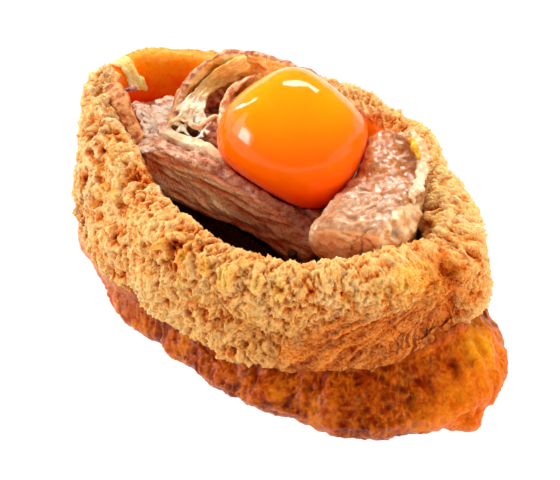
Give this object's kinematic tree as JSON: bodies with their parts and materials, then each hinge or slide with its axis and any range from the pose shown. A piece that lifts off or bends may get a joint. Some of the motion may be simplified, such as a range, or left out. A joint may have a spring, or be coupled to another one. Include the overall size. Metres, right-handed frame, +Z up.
{
  "type": "inari sushi",
  "caption": "Open fried tofu pouch with a folded spongy rim, filled with rice, simmered beef slices and a raw egg yolk.",
  "frame": {"origin": "middle of the flat spot that the pouch stands on, below the middle of its opening", "axes": "+X along the pouch towards its creased end, -Y towards its near side with the deep gap, +Z up"},
  "size_m": [0.0908, 0.0534, 0.0461],
  "materials": {
    "fried_tofu": "moist, spongy golden-brown fried tofu; glossy and wrinkled below the folded rim",
    "rice": "glossy translucent cooked grains with a brownish tint",
    "simmered_beef": "wet fibrous cooked meat",
    "beef_fat": "soft translucent fat with a wet sheen",
    "egg_yolk": "very glossy translucent yolk"
  },
  "bodies": {
    "root": {"tofu_pouch": "fried_tofu", "rice_bed": "rice", "beef_slab": "simmered_beef", "beef_chunk": "simmered_beef", "beef_strip": "simmered_beef", "beef_back_slice": "beef_fat", "beef_fat_web": "beef_fat", "beef_sliver": "beef_fat", "egg_yolk": "egg_yolk"}
  },
  "joints": []
}
